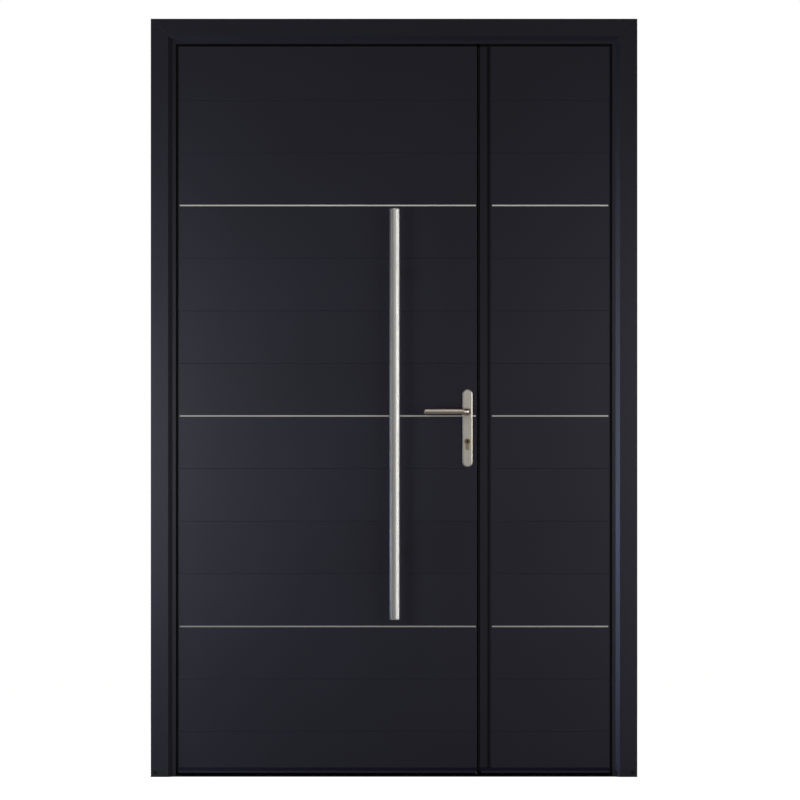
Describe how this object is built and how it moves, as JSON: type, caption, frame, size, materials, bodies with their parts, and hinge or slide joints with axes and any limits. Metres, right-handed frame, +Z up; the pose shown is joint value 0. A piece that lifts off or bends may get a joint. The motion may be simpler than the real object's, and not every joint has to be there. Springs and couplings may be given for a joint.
{
  "type": "unequal double-leaf entrance door",
  "caption": "Unequal double-leaf entrance door in dark aluminium: wide main leaf with pull bar and lever, narrow second leaf, rebated frame and low threshold; both leaves open inwards.",
  "frame": {"origin": "underside of the threshold, midway across the frame's width and depth", "axes": "+X to the right seen from outside, +Y indoors, +Z up"},
  "size_m": [1.386, 0.187, 2.16],
  "materials": {
    "dark_coat": "satin powder coat, dark grey",
    "threshold_coat": "satin powder coat, near black",
    "foot_plastic": "moulded, in the frame's colour",
    "insulating_plastic": "glass-filled plastic, black",
    "foam_core": "rigid foam",
    "seal_rubber": "matt, black",
    "brushed_steel": "brushed stainless steel",
    "lock_steel": "zinc-plated or stainless steel",
    "brass": "machined brass"
  },
  "bodies": {
    "frame": {"left_jamb_outer_shell": "dark_coat", "right_jamb_outer_shell": "dark_coat", "head_outer_shell": "dark_coat", "left_jamb_inner_shell": "dark_coat", "right_jamb_inner_shell": "dark_coat", "head_inner_shell": "dark_coat", "left_jamb_thermal_break": "insulating_plastic", "right_jamb_thermal_break": "insulating_plastic", "head_thermal_break": "insulating_plastic", "frame_gasket": "seal_rubber", "left_foot_block": "foot_plastic", "right_foot_block": "foot_plastic", "threshold": "threshold_coat", "threshold_strip": "insulating_plastic", "main_hinge_frame_halves": "dark_coat", "main_hinge_pins": "brushed_steel", "passive_hinge_frame_halves": "dark_coat", "passive_hinge_pins": "brushed_steel"},
    "main_leaf": {"main_hinge_stile": "dark_coat", "main_lock_stile": "dark_coat", "main_leaf_rails": "dark_coat", "main_leaf_infill": "foam_core", "main_outer_panel": "dark_coat", "main_inner_panel": "dark_coat", "main_leaf_inlays": "brushed_steel", "main_drip_bar": "dark_coat", "main_bottom_seal": "seal_rubber", "main_hinge_leaf_halves": "dark_coat", "pull_bar": "brushed_steel", "pull_bar_posts": "brushed_steel", "outside_plate": "brushed_steel", "inside_plate": "brushed_steel", "lock_cylinder": "brass", "lock_faceplate": "lock_steel", "lock_bolts": "lock_steel"},
    "passive_leaf": {"passive_hinge_stile": "dark_coat", "passive_meeting_stile": "dark_coat", "passive_leaf_rails": "dark_coat", "passive_leaf_infill": "foam_core", "passive_outer_panel": "dark_coat", "passive_inner_panel": "dark_coat", "passive_leaf_inlays": "brushed_steel", "passive_drip_bar": "dark_coat", "passive_bottom_seal": "seal_rubber", "meeting_strip": "dark_coat", "meeting_seal": "seal_rubber", "strike_plates": "lock_steel", "flush_bolts": "lock_steel", "passive_hinge_leaf_halves": "dark_coat"},
    "lever": {"outside_lever": "brushed_steel", "inside_lever": "brushed_steel", "lever_spindle": "lock_steel"}
  },
  "joints": [
    {"name": "main_leaf_hinge", "type": "hinge", "parent": "frame", "child": "main_leaf", "pos_m": [-0.634, 0.048, 0], "axis": [0, 0, 1], "range_deg": [0, 100], "deforming": ["meeting_seal"]},
    {"name": "passive_leaf_hinge", "type": "hinge", "parent": "frame", "child": "passive_leaf", "pos_m": [0.634, 0.048, 0], "axis": [0, 0, -1], "range_deg": [0, 100]},
    {"name": "lever_turn", "type": "hinge", "parent": "main_leaf", "child": "lever", "pos_m": [0.2092, 0, 1.041], "axis": [0, -1, 0], "range_deg": [0, 40], "stiffness_Nm_per_rad": 2.5, "springref_deg": -20.05}
  ]
}
